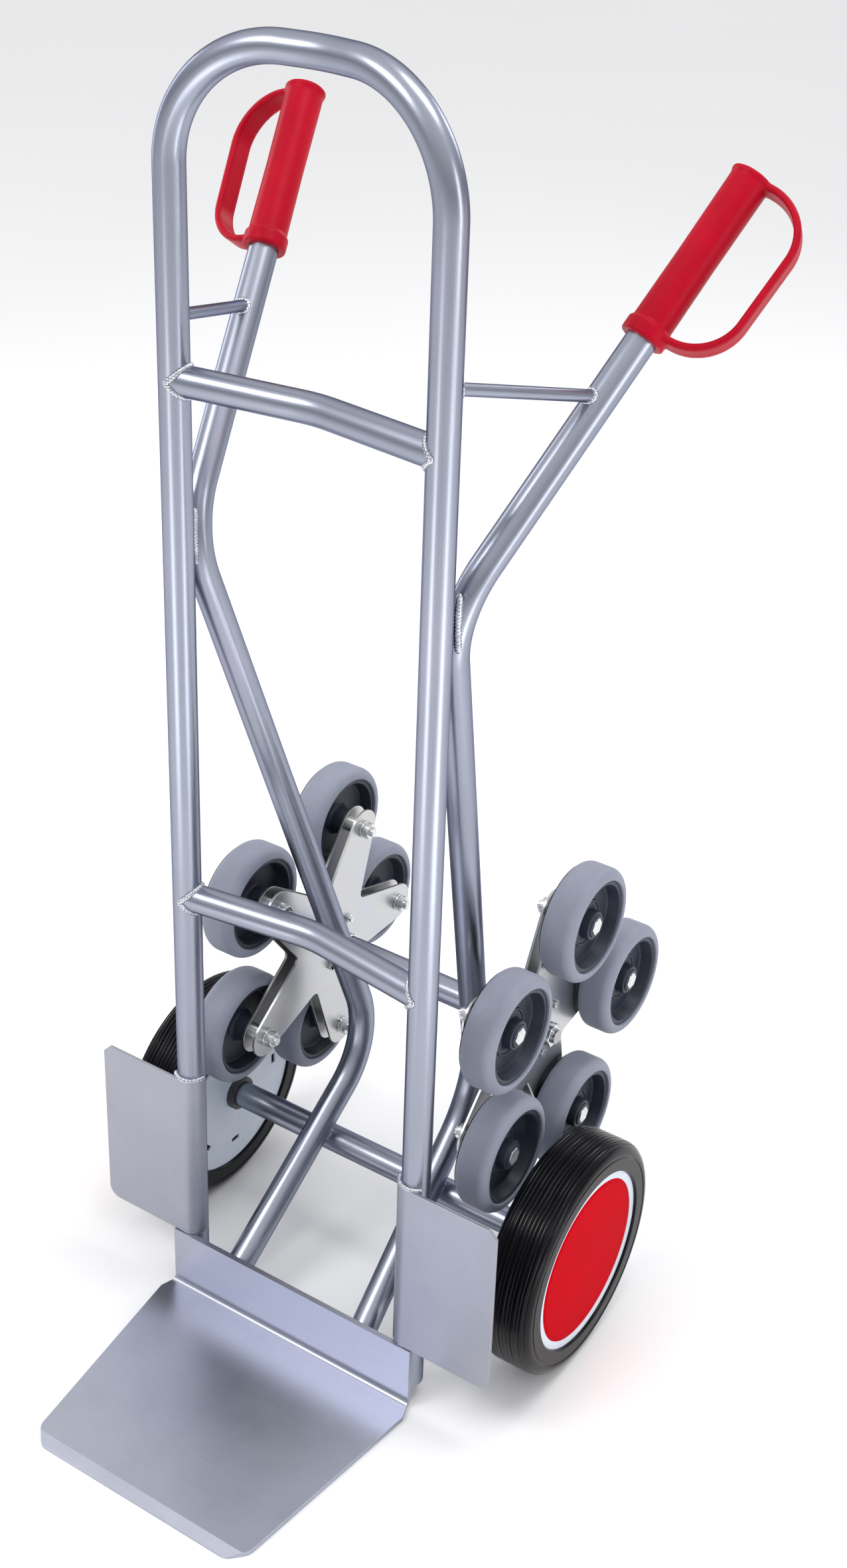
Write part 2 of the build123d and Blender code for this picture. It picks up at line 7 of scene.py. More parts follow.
# %% Load the frame
import math
import bmesh
import bpy
import numpy as np
from mathutils import Matrix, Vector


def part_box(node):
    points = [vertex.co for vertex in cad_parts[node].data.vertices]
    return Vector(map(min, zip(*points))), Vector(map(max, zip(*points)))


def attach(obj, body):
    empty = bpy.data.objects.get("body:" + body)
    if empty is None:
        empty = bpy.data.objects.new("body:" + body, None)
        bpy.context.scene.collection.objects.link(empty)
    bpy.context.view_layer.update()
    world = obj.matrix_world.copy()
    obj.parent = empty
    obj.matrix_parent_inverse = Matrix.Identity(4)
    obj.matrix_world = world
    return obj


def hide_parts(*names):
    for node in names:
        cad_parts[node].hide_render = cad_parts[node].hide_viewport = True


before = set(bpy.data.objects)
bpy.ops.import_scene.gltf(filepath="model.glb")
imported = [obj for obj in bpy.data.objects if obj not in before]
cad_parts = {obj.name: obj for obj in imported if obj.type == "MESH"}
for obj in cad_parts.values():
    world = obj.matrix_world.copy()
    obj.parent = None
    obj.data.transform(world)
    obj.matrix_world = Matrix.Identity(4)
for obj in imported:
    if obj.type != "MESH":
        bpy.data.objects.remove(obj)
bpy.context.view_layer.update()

print("frame loaded with", len(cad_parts), "nodes")

# %% [markdown]
# The places come from the frame. A node's box gives the middle of a wheel or the height of a shaft, and
# the few sizes that a box can't give, such as the radius of a bend, are named here in metres.

# %% Places and sizes
SIDES = (("right", 1.0), ("left", -1.0))


def middle(node):
    low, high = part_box(node)
    return np.array((low + high) / 2)


def span(node):
    low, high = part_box(node)
    return np.array(low), np.array(high)


tube_r = 0.015
tube_wall = 0.0025
frame_half = 0.147
plane_y = 0.150
foot_z = 0.020
arch_radius = 0.112
arch_bow = 0.024
bar_bow = 0.020
bow_radius = 0.130
frame_top = span("main_frame_tube")[1][2]
upper_bar_z = middle("upper_crossbar")[2]
lower_bar_z = middle("lower_crossbar")[2]
heel = np.array([0.073, plane_y + 0.2328, 0.2304])
toe_end = np.array([0.0855, plane_y - tube_r, 0.038])
handle_end = np.array([frame_half + 0.1045, plane_y + 0.332, 1.2715])
elbow_x = frame_half + 0.003
elbow_z = 0.9236
heel_radius = 0.098
elbow_radius = 0.099
strut_r = 0.006
strut_share = 0.50
strut_rise = 0.060
axle = middle("axle_shaft")
star = middle("star_shaft")
UP = np.array([0.0, 0.0, 1.0])
BACK = np.array([0.0, 1.0, 0.0])
RIGHT = np.array([1.0, 0.0, 0.0])
print("axle at", axle.round(4), "star shaft at", star.round(4))

# %% [markdown]
# Every new piece starts as a grid of points: rows run one way over the surface and columns the other.
# Closing the grid both ways makes a ring-like skin with no open edge, and a grid that is closed only
# round its columns gets a centre point on each end. The same function measures the grid, so its UV map
# is in metres and a streak or a scratch keeps its real size on every tube.

# %% Grids of points
def unit(vectors):
    return vectors / np.linalg.norm(vectors, axis=-1, keepdims=True)


def running_length(points):
    """Distance along a row of points: the steps between neighbours, added up."""
    return np.concatenate([[0.0], np.cumsum(np.linalg.norm(np.diff(points, axis=0), axis=1))])


def shell(grid, along=False, around=True):
    """Faces of a grid: point (i, j), (i, j+1), (i+1, j+1), (i+1, j). Ends that stay open get a fan."""
    rows, columns = grid.shape[:2]
    index = np.arange(rows * columns).reshape(rows, columns)
    index = np.hstack([index, index[:, :1]]) if around else index
    index = np.vstack([index, index[:1]]) if along else index
    points = grid.reshape(-1, 3)
    laid = points[index]
    down = np.linalg.norm(np.diff(laid, axis=0), axis=2).mean(1)
    across = np.linalg.norm(np.diff(laid, axis=1), axis=2).mean(0)
    down = np.concatenate([[0.0], np.cumsum(down)])
    across = np.concatenate([[0.0], np.cumsum(across)])
    chart = np.stack(np.meshgrid(down, across, indexing="ij"), -1)
    quads = np.stack([index[:-1, :-1], index[:-1, 1:], index[1:, 1:], index[1:, :-1]], -1).reshape(-1, 4)
    quad_uv = np.stack([chart[:-1, :-1], chart[:-1, 1:], chart[1:, 1:], chart[1:, :-1]], 2).reshape(-1, 4, 2)
    fans = np.zeros((0, 3), int)
    fan_uv = np.zeros((0, 3, 2))
    if not along:
        count = len(points)
        points = np.vstack([points, laid[0].mean(0), laid[-1].mean(0)])
        first = np.stack([index[0, 1:], index[0, :-1], np.full(columns, count)], -1)
        last = np.stack([index[-1, :-1], index[-1, 1:], np.full(columns, count + 1)], -1)
        fans = np.vstack([first, last])
        fan_uv = np.zeros((len(fans), 3, 2)) + chart[0, 0]
    if signed_volume(points, quads, fans) < 0:
        quads, quad_uv = quads[:, ::-1], quad_uv[:, ::-1]
        fans, fan_uv = fans[:, ::-1], fan_uv[:, ::-1]
    return points, quads, quad_uv, fans, fan_uv


def signed_volume(points, quads, fans):
    """Six times the volume: the sum of each triangle's triple product. Negative is inside out."""
    triangles = np.vstack([quads[:, [0, 1, 2]], quads[:, [0, 2, 3]], fans])
    corners = points[triangles]
    return np.einsum("ij,ij->i", corners[:, 0], np.cross(corners[:, 1], corners[:, 2])).sum()


def piece(name, shells, body, finish, replaces=(), sharp=32):
    """One object from one or more shells, on its body, with its finish."""
    offsets = np.cumsum([0] + [len(part[0]) for part in shells[:-1]])
    points = np.vstack([part[0] for part in shells])
    faces, uvs = [], []
    for offset, (_, quads, quad_uv, fans, fan_uv) in zip(offsets, shells):
        faces += (quads + offset).tolist() + (fans + offset).tolist()
        uvs += [quad_uv.reshape(-1, 2), fan_uv.reshape(-1, 2)]
    mesh = bpy.data.meshes.new(name)
    mesh.from_pydata(points.tolist(), [], faces)
    mesh.uv_layers.new(name="UVMap").data.foreach_set("uv", np.vstack(uvs).ravel().astype(np.float32))
    return settle(name, mesh, body, finish, replaces, sharp)


def settle(name, mesh, body, finish, replaces=(), sharp=32):
    """Smooth shading that keeps the sharp edges, then the finish, the body and the node it stands for."""
    mesh.shade_smooth()
    mesh.set_sharp_from_angle(angle=math.radians(sharp))
    mesh.materials.clear()
    mesh.materials.append(finish)
    made = bpy.data.objects.new(name, mesh)
    bpy.context.scene.collection.objects.link(made)
    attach(made, body)
    if replaces:
        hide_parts(*replaces)
    print(name, len(mesh.polygons), "faces")
    return made


# %% [markdown]
# A bent tube is a circle carried along a path of straight runs and tangent arcs, as on a tube bender.
# The circle needs a direction to start from at each point, so it is given a side vector that the path
# never runs along. A wall is the same circle, smaller, carried back the other way.

# %% Paths, sweeps and turned shapes
def straight(start, end, step=0.02):
    count = max(2, int(np.linalg.norm(end - start) / step) + 1)
    return start + np.linspace(0, 1, count)[:, None] * (end - start)


def rounded_path(corners, radii, step=0.003, least=5):
    """Runs joined by arcs. An arc starts radius * tan(half turn) before its corner, and its points are
    start + radius * ((1 - cos(angle)) * inward + sin(angle) * run direction)."""
    corners = [np.asarray(corner, float) for corner in corners]
    pieces, here = [], corners[0]
    for before, corner, after, radius in zip(corners, corners[1:], corners[2:], radii):
        come, go = unit(corner - before), unit(after - corner)
        turn = math.acos(np.clip(come @ go, -1, 1))
        cut = radius * math.tan(turn / 2)
        start = corner - cut * come
        inward = unit(go - come * (come @ go))
        angle = np.linspace(0, turn, max(least, int(turn * radius / step) + 1))[:, None]
        arc = start + radius * ((1 - np.cos(angle)) * inward + np.sin(angle) * come)
        pieces += [straight(here, start), arc]
        here = corner + cut * go
    pieces.append(straight(here, corners[-1]))
    path = np.vstack(pieces)
    apart = np.linalg.norm(np.diff(path, axis=0), axis=1) > 1e-7
    return path[np.concatenate([[True], apart])]


def rounded_outline(corners, radii, least=4):
    """A closed outline with rounded corners: the same path, begun and ended in the middle of one side."""
    start = (np.asarray(corners[0], float) + np.asarray(corners[-1], float)) / 2
    return rounded_path([start, *corners, start], radii, step=0.0015, least=least)[:-1]


def circle(radius, steps=48):
    angle = np.linspace(0, 2 * np.pi, steps, endpoint=False)
    return radius * np.stack([np.cos(angle), np.sin(angle)], -1)


def carried(path, side, section, closed=False):
    """A section carried along a path: point + a * normal + b * binormal, where the normal is the side
    vector with its part along the path taken away, and the binormal is square to both."""
    if closed:
        tangent = unit(np.roll(path, -1, 0) - np.roll(path, 1, 0))
    else:
        tangent = unit(np.gradient(path, axis=0))
    side = np.broadcast_to(side, path.shape)
    normal = unit(side - (side * tangent).sum(1, keepdims=True) * tangent)
    binormal = np.cross(tangent, normal)
    section = np.broadcast_to(section, (len(path),) + section.shape[-2:])
    return path[:, None] + section[..., :1] * normal[:, None] + section[..., 1:] * binormal[:, None]


def turned(profile, origin, axis=RIGHT, side=UP, steps=96):
    """A profile of (distance, radius) turned about an axis: origin + distance * axis + radius * spoke."""
    side = unit(side - (side @ axis) * axis)
    spokes = circle(1.0, steps) @ np.stack([side, np.cross(axis, side)])
    return origin + profile[:, None, :1] * axis + profile[:, None, 1:] * spokes


def slide_to_plane(ring, direction, y):
    """Moves points along a direction until they reach a plane of constant y."""
    return ring + ((y - ring[:, 1:2]) / direction[1]) * direction


def slide_to_tube(ring, direction, point, line, radius):
    """Moves points along a direction until they are one radius from a tube's axis: the smaller root of
    the quadratic for the distance to that axis."""
    flat_way = direction - (direction @ line) * line
    offset = ring - point
    flat = offset - (offset @ line)[:, None] * line
    a, b, c = flat_way @ flat_way, 2 * flat @ flat_way, (flat * flat).sum(1) - radius**2
    reach = (-b - np.sqrt(np.maximum(b * b - 4 * a * c, 0))) / (2 * a)
    return ring + reach[:, None] * direction


def hollow(path, side, radius, wall, start=None, end=None, steps=48):
    """A tube with a wall: outer rings out, inner rings back. start and end trim a ring to what it meets."""
    outer = carried(path, side, circle(radius, steps))
    inner = carried(path, side, circle(radius - wall, steps))
    for rings in (outer, inner):
        if start:
            rings[0] = start(rings[0], unit(path[0] - path[1]))
        if end:
            rings[-1] = end(rings[-1], unit(path[-1] - path[-2]))
    return shell(np.vstack([outer, inner[::-1]]), along=True), outer


# %% [markdown]
# Shader maths reads better as sums. The small class below wraps one socket, so that mask * 0.2 + 0.1
# adds the two Math nodes it needs, and one method adds any other node: its settings first, then its
# sockets.

# %% A class for shader sums
class Shade:
    def __init__(self, tree, socket=None):
        self.tree = tree
        self.socket = socket

    def node(self, kind, inputs, output=0, stops=(), **settings):
        made = self.tree.nodes.new("ShaderNode" + kind)
        for name, value in settings.items():
            setattr(made, name, value)
        for order, (position, colour) in enumerate(stops):
            stop = made.color_ramp.elements[order] if order < 2 else made.color_ramp.elements.new(position)
            stop.position = position
            stop.color = colour
        for key, value in inputs.items():
            if isinstance(value, Shade):
                self.tree.links.new(value.socket, made.inputs[key])
            else:
                made.inputs[key].default_value = value
        return Shade(self.tree, made.outputs[output])

    def sum(self, operation, first, second):
        return self.node("Math", {0: first, 1: second}, operation=operation)

    def __add__(self, other):
        return self.sum("ADD", self, other)

    def __radd__(self, other):
        return self.sum("ADD", other, self)

    def __sub__(self, other):
        return self.sum("SUBTRACT", self, other)

    def __rsub__(self, other):
        return self.sum("SUBTRACT", other, self)

    def __mul__(self, other):
        return self.sum("MULTIPLY", self, other)

    def __rmul__(self, other):
        return self.sum("MULTIPLY", other, self)

    def noise(self, place, scale, detail=3.0, stretch=(1, 1, 1), roughness=0.5):
        """Cloudy values round 0.5, drawn out along an axis where the stretch is under one."""
        spread = self.node("Mapping", {"Vector": place, "Scale": stretch})
        inputs = {"Vector": spread, "Scale": scale, "Detail": detail, "Roughness": roughness}
        return self.node("TexNoise", inputs)

    def between(self, value, low, high, start=0.0, end=1.0):
        """Start below low, end above high, and a straight change from one to the other."""
        inputs = {"Value": value, "From Min": low, "From Max": high, "To Min": start, "To Max": end}
        return self.node("MapRange", inputs)

    def blend(self, factor, first, second):
        """A colour part of the way from the first to the second."""
        return self.node("Mix", {0: factor, 6: first, 7: second}, output=2, data_type="RGBA")

    def finish(self, inputs, height=None, strength=0.3, depth=0.0004):
        """Puts values and links on the main shader, and a height through a Bump node on its normal."""
        shader = self.tree.nodes["Principled BSDF"]
        if height is not None:
            bump = self.node("Bump", {"Height": height, "Strength": strength, "Distance": depth})
            inputs = dict(inputs, Normal=bump)
        for key, value in inputs.items():
            if isinstance(value, Shade):
                self.tree.links.new(value.socket, shader.inputs[key])
            else:
                shader.inputs[key].default_value = value


def new_finish(name):
    material = bpy.data.materials.new(name)
    material.use_nodes = True
    shade = Shade(material.node_tree)
    return material, shade


def rgb(red, green, blue):
    return (red, green, blue, 1.0)


# %% [markdown]
# The frame is bare aluminium tube. Drawing leaves fine streaks along it, handling leaves cloudy patches
# that are a little duller, and a line of tiny pits runs beside the seam. The streaks follow the tube
# round its bends, so they read the UV map, where the first number is the length along the tube.

# %% Aluminium tube
def tube_aluminium():
    material, shade = new_finish("satin_aluminium_tube")
    place = shade.node("TexCoord", {}, output="UV")
    streaks = shade.noise(place, 1.0, 4.0, (5.0, 850.0, 1.0))
    scuffs = shade.noise(place, 1.0, 5.0, (60.0, 420.0, 1.0), 0.65)
    clouds = shade.noise(place, 1.0, 2.0, (6.0, 22.0, 1.0))
    pits = shade.between(shade.noise(place, 420.0, 2.0), 0.66, 0.72)
    around = shade.node("SeparateXYZ", {"Vector": place}, output=1)
    seam = 1 - shade.between(shade.node("Math", {0: around - 0.071}, operation="ABSOLUTE"), 0.0015, 0.005)
    pits = pits * seam
    tone = streaks * 0.55 + clouds * 0.45
    colour = shade.blend(shade.between(tone, 0.30, 0.70), rgb(0.305, 0.325, 0.395), rgb(0.375, 0.395, 0.465))
    tint = shade.blend(shade.between(clouds, 0.55, 0.75), colour, rgb(0.385, 0.370, 0.475))
    colour = shade.blend(pits * 0.75, tint, rgb(0.16, 0.16, 0.19))
    rough = streaks * 0.05 + clouds * 0.06 + scuffs * 0.03 + 0.23
    height = streaks * 0.5 + scuffs * 0.4 - pits * 0.9
    edge_tint = rgb(0.34, 0.35, 0.44)
    inputs = {"Base Color": colour, "Metallic": 1.0, "Roughness": rough, "Specular Tint": edge_tint}
    shade.finish(inputs, height, 0.05, 0.0002)
    return material


aluminium_tube = tube_aluminium()

# %% [markdown]
# Sheet aluminium has a finer, flatter grain than the tube. Rolling leaves faint lines across the plate,
# and years of boxes leave soft blotches, short scratches and a few small dents that catch the light.

# %% Aluminium sheet
def sheet_aluminium(name, stretch, light, dark, rough_low):
    material, shade = new_finish(name)
    place = shade.node("TexCoord", {}, output="Object")
    grain = shade.noise(place, 900.0, 3.0)
    rolling = shade.noise(place, 1.0, 4.0, stretch)
    blotches = shade.noise(place, 11.0, 4.0, (1, 1, 1), 0.6)
    ridges = shade.noise(place, 1.0, 2.0, (9.0, 260.0, 9.0))
    scratches = shade.between(ridges, 0.70, 0.74) * shade.between(blotches, 0.5, 0.6)
    dents = shade.between(shade.noise(place, 70.0, 1.0), 0.70, 0.80)
    tone = blotches * 0.45 + rolling * 0.10 + grain * 0.45
    colour = shade.blend(shade.between(tone, 0.36, 0.64), dark, light)
    colour = shade.blend(scratches * 0.5, colour, rgb(0.75, 0.75, 0.78))
    rough = blotches * 0.10 + rolling * 0.03 + grain * 0.08 + rough_low
    height = grain * 0.5 + rolling * 0.08 - dents * 0.6 - scratches * 0.4
    shade.finish({"Base Color": colour, "Metallic": 1.0, "Roughness": rough}, height, 0.10, 0.0003)
    return material


plate_light, plate_dark = rgb(0.47, 0.485, 0.565), rgb(0.40, 0.415, 0.49)
wing_light, wing_dark = rgb(0.42, 0.43, 0.485), rgb(0.355, 0.365, 0.42)
plate_rolling = (14.0, 320.0, 14.0)
wing_rolling = (320.0, 320.0, 14.0)
plate_aluminium = sheet_aluminium("rolled_aluminium_plate", plate_rolling, plate_light, plate_dark, 0.22)
wing_aluminium = sheet_aluminium("rolled_aluminium_wing", wing_rolling, wing_light, wing_dark, 0.34)

# %% [markdown]
# A weld is metal that froze in small waves. It is brighter than the tube beside it, with a thin grey
# edge, and it has a fine crust of oxide.

# %% Weld metal
def weld_metal():
    material, shade = new_finish("weld_metal")
    place = shade.node("TexCoord", {}, output="Object")
    crust = shade.noise(place, 900.0, 4.0)
    patches = shade.noise(place, 160.0, 3.0)
    colour = shade.blend(shade.between(patches, 0.35, 0.65), rgb(0.40, 0.415, 0.46), rgb(0.64, 0.65, 0.69))
    rough = crust * 0.12 + patches * 0.14 + 0.12
    shade.finish({"Base Color": colour, "Metallic": 1.0, "Roughness": rough}, crust, 0.25, 0.0003)
    return material


weld = weld_metal()

# %% [markdown]
# The star plates and the fasteners are steel with a bright zinc coat. The coat on the plates is thin
# and uneven: it drifts from a cool silver to a straw colour in soft patches. The fasteners are barrel
# plated, so they are more even and shinier.

# %% Zinc
def zinc(name, cool, warm, patch, rough_low):
    material, shade = new_finish(name)
    place = shade.node("TexCoord", {}, output="Object")
    patches = shade.noise(place, patch, 4.0, (1, 1, 1), 0.6)
    fine = shade.noise(place, 420.0, 3.0)
    rubbed = shade.noise(place, 1.0, 3.0, (200.0, 40.0, 260.0))
    tone = shade.between(patches, 0.30, 0.70)
    colour = shade.blend(tone, cool, warm)
    colour = shade.blend(shade.between(fine, 0.60, 0.80) * 0.25, colour, rgb(0.40, 0.41, 0.42))
    rough = patches * 0.08 + fine * 0.05 + rubbed * 0.05 + rough_low
    height = fine * 0.6 + rubbed * 0.4
    shade.finish({"Base Color": colour, "Metallic": 1.0, "Roughness": rough}, height, 0.05, 0.0002)
    return material


zinc_plate = zinc("zinc_star_plate", rgb(0.52, 0.545, 0.60), rgb(0.58, 0.57, 0.545), 16.0, 0.22)
zinc_fastener = zinc("zinc_fastener", rgb(0.72, 0.74, 0.76), rgb(0.62, 0.63, 0.62), 120.0, 0.12)
axle_steel = zinc("turned_axle_steel", rgb(0.46, 0.46, 0.48), rgb(0.36, 0.36, 0.38), 60.0, 0.18)

# %% [markdown]
# Three rubbers and plastics follow. The main tyres are glossy black with a slight bloom, the small
# tyres are a light grey soft rubber that is almost matt, and the cores inside them are a hard, slate
# coloured plastic with a moulded sheen.

# %% Rubber and plastic
def moulded(name, light, dark, rough_low, rough_more, patch, grain, strength):
    material, shade = new_finish(name)
    place = shade.node("TexCoord", {}, output="Object")
    patches = shade.noise(place, patch, 4.0, (1, 1, 1), 0.6)
    fine = shade.noise(place, grain, 3.0)
    tone = shade.between(patches * 0.8 + fine * 0.2, 0.36, 0.64)
    colour = shade.blend(tone, dark, light)
    rough = patches * rough_more + fine * rough_more * 0.5 + rough_low
    shade.finish({"Base Color": colour, "Roughness": rough}, fine * 0.7 + patches * 0.3, strength, 0.0003)
    return material


black_light, black_dark = rgb(0.0040, 0.0044, 0.0065), rgb(0.0018, 0.0018, 0.0026)
black_rubber = moulded("black_tyre_rubber", black_light, black_dark, 0.11, 0.12, 18.0, 600.0, 0.20)
grey_light, grey_dark = rgb(0.250, 0.268, 0.335), rgb(0.210, 0.226, 0.290)
grey_rubber = moulded("grey_tyre_rubber", grey_light, grey_dark, 0.40, 0.25, 20.0, 700.0, 0.20)
slate_light, slate_dark = rgb(0.030, 0.036, 0.056), rgb(0.016, 0.020, 0.033)
dark_core = moulded("slate_core_plastic", slate_light, slate_dark, 0.26, 0.22, 30.0, 500.0, 0.20)
pale_light, pale_dark = rgb(0.70, 0.76, 0.84), rgb(0.61, 0.68, 0.78)
pale_rim = moulded("pale_rim_paint", pale_light, pale_dark, 0.20, 0.22, 16.0, 350.0, 0.15)
bush_light, bush_dark = rgb(0.060, 0.060, 0.065), rgb(0.030, 0.030, 0.034)
bush_plastic = moulded("bearing_plastic", bush_light, bush_dark, 0.30, 0.20, 40.0, 500.0, 0.15)
cap_light, cap_dark = rgb(0.560, 0.0004, 0.008), rgb(0.510, 0.0003, 0.006)
red_cap = moulded("red_cap_plastic", cap_light, cap_dark, 0.42, 0.14, 14.0, 500.0, 0.06)
grip_light, grip_dark = rgb(0.440, 0.0004, 0.016), rgb(0.360, 0.0003, 0.012)
red_grip = moulded("red_grip_plastic", grip_light, grip_dark, 0.30, 0.14, 20.0, 650.0, 0.14)
for finish, level in ((black_rubber, 0.16), (dark_core, 0.30), (red_cap, 0.015), (red_grip, 0.11)):
    finish.node_tree.nodes["Principled BSDF"].inputs["Specular IOR Level"].default_value = level

# %% [markdown]
# The main frame is one tube: up one side, over the arch and down the other. Seen from above the arch
# isn't straight but bowed to the rear, with a tight kink in its middle where the bender gripped it.

# %% Main frame tube and crossbars
top = frame_top - tube_r
frame_corners = [
    (-frame_half, plane_y, foot_z),
    (-frame_half, plane_y, top),
    (0, plane_y + arch_bow, top),
    (frame_half, plane_y, top),
    (frame_half, plane_y, foot_z),
]
frame_path = rounded_path(frame_corners, [arch_radius, bow_radius, arch_radius])
frame_shell, _ = hollow(frame_path, BACK, tube_r, tube_wall, steps=64)
piece("frame_tube", [frame_shell], "frame", aluminium_tube, ["main_frame_tube"])


def to_upright(side):
    """Trims a ring to the upright on one side."""
    foot = np.array([side * frame_half, plane_y, 0.0])
    return lambda ring, way: slide_to_tube(ring - 0.06 * way, way, foot, UP, tube_r)


weld_curves = []
for name, height in (("upper_crossbar", upper_bar_z), ("lower_crossbar", lower_bar_z)):
    corners = [(-frame_half, plane_y, height), (0, plane_y + bar_bow, height), (frame_half, plane_y, height)]
    path = rounded_path(corners, [bow_radius])
    made, outer = hollow(path, UP, tube_r, tube_wall, to_upright(-1), to_upright(1))
    piece(name.replace("crossbar", "bar"), [made], "frame", aluminium_tube, [name])
    weld_curves += [(outer[0], unit(outer[0] - path[0])), (outer[-1], unit(outer[-1] - path[-1]))]

# %% [markdown]
# Each handle tube starts at the load plate, runs back under the stars, turns at the heel, comes forward
# to lie against the upright, and turns out again to the grip. The bend at the upright touches it, so
# the corner is found from that contact, not from a number.

# %% Handle tubes
def bend_front(corner):
    """Smallest y of the bend's axis: the arc's centre less radius * length of the bend plane's y part."""
    come, go = unit(corner - heel), unit(handle_end - corner)
    half_turn = math.acos(come @ go) / 2
    inward, along = unit(go - come), unit(go + come)
    centre = corner + inward * elbow_radius / math.cos(half_turn)
    return centre[1] - elbow_radius * math.hypot(inward[1], along[1])


elbow = np.array([elbow_x, plane_y, elbow_z])
for attempt in range(4):
    elbow[1] += plane_y + 2 * tube_r - bend_front(elbow)
flip = {1.0: np.array([1.0, 1.0, 1.0]), -1.0: np.array([-1.0, 1.0, 1.0])}
handle_way = unit(handle_end - elbow)
flange_back = plane_y - tube_r


def to_flange(ring, way):
    return slide_to_plane(ring, way, flange_back)


handle_paths = {}
for side, sign in SIDES:
    corners = [toe_end * flip[sign], heel * flip[sign], elbow * flip[sign], handle_end * flip[sign]]
    path = rounded_path(corners, [heel_radius, elbow_radius])
    handle_paths[side] = path
    made, outer = hollow(path, RIGHT * sign, tube_r, tube_wall, to_flange, steps=64)
    piece(side + "_handle", [made], "frame", aluminium_tube, [side + "_handle_tube"])
    weld_curves.append((outer[0], unit(outer[0] - outer[0].mean(0))))

# %% [markdown]
# Thin round struts hold the handle tubes off the uprights, and two cross tubes run under the braces: one
# round the axle and one round the shaft of the stars. All are simple sweeps, trimmed where they meet.

# %% Struts and cross tubes
strut_shells = []
for side, sign in SIDES:
    start = np.array([frame_half, plane_y, upper_bar_z + strut_rise]) * flip[sign]
    end = (elbow + (handle_end - elbow) * strut_share) * flip[sign]
    way = unit(end - start)
    path = straight(start + way * tube_r * 0.8, end - way * tube_r * 0.8)
    rings = carried(path, UP, circle(strut_r, 32))
    rings[0] = slide_to_tube(rings[0] + 0.04 * way, -way, start, UP, tube_r)
    rings[-1] = slide_to_tube(rings[-1] - 0.04 * way, way, end, handle_way * flip[sign], tube_r)
    strut_shells.append(shell(rings))
    weld_curves += [(rings[0], unit(rings[0] - start)), (rings[-1], unit(rings[-1] - end))]
piece("struts", strut_shells, "frame", aluminium_tube, ["handle_struts"])

for name, bore in (("axle_tube", 0.011), ("star_cross_tube", 0.008)):
    low, high = span(name)
    centre = np.array([0.0, (low[1] + high[1]) / 2, (low[2] + high[2]) / 2])
    path = straight(centre + RIGHT * low[0], centre + RIGHT * high[0])
    made, _ = hollow(path, BACK, tube_r, tube_r - bore)
    new_name = name.replace("tube", "sleeve")
    piece(new_name, [made], "frame", aluminium_tube, [name])

# %% [markdown]
# The joints are welded by hand, and a hand weld is a row of overlapping round puddles. A bead is a small
# circle carried along the line where two pieces meet, and its radius rises and falls with each puddle.

# %% Weld beads
puddle = 0.0034


def even(curve, step, closed):
    """The same curve with its points at equal distances, read off its running length."""
    curve = np.vstack([curve, curve[:1]]) if closed else curve
    length = running_length(curve)
    places = np.linspace(0, length[-1], max(8, int(length[-1] / step)), endpoint=not closed)
    return np.stack([np.interp(places, length, curve[:, axis]) for axis in range(3)], -1), places, length[-1]


def bead(curve, side, radius=0.0026, closed=True, seed=0):
    """Circle of radius * (0.84 + 0.26 * |cos(pi * length / puddle)|) along a curve; an open bead tapers."""
    line, places, total = even(curve, 0.0006, closed)
    base = np.vstack([curve, curve[:1]]) if closed else curve
    facing = np.vstack([side, side[:1]]) if closed else side
    length = running_length(base)
    facing = np.stack([np.interp(places, length, facing[:, axis]) for axis in range(3)], -1)
    puddles = max(1, round(total / puddle))
    wave = np.abs(np.cos(np.pi * places / total * puddles))
    jitter = np.random.default_rng(seed).normal(0, 0.05, puddles + 1)
    drift = np.interp(places / total * puddles, np.arange(puddles + 1), jitter)
    size = radius * (0.84 + 0.26 * wave**0.7 + drift)
    if not closed:
        size = size * np.sqrt(np.clip(1 - (2 * places / total - 1) ** 8, 0.02, 1))
    section = size[:, None, None] * circle(1.0, 14)
    return shell(carried(line, facing, section, closed), along=closed)


beads = []
for order, (curve, side) in enumerate(weld_curves):
    size = 0.0023 if order in (6, 7, 8, 9) else 0.0029
    beads.append(bead(curve, side, size, True, order))

# %% [markdown]
# Where two tubes only touch, the weld fills the narrow gap beside the contact: along both sides of the
# bend that lies on the upright, and in a small ring where a brace crosses a tube at a right angle.

# %% Welds at the contacts
def contact_ring(point, across, along, reach=0.0095):
    """Ring in the gap between two crossed tubes: height is -reach^2 * cos(2 * angle) / (4 * radius)."""
    angle = np.linspace(0, 2 * np.pi, 60, endpoint=False)[:, None]
    normal = unit(np.cross(across, along))
    ring = reach * (np.cos(angle) * across + np.sin(angle) * along)
    return point + ring + normal * reach**2 * np.cos(2 * angle) / (4 * tube_r), unit(ring)


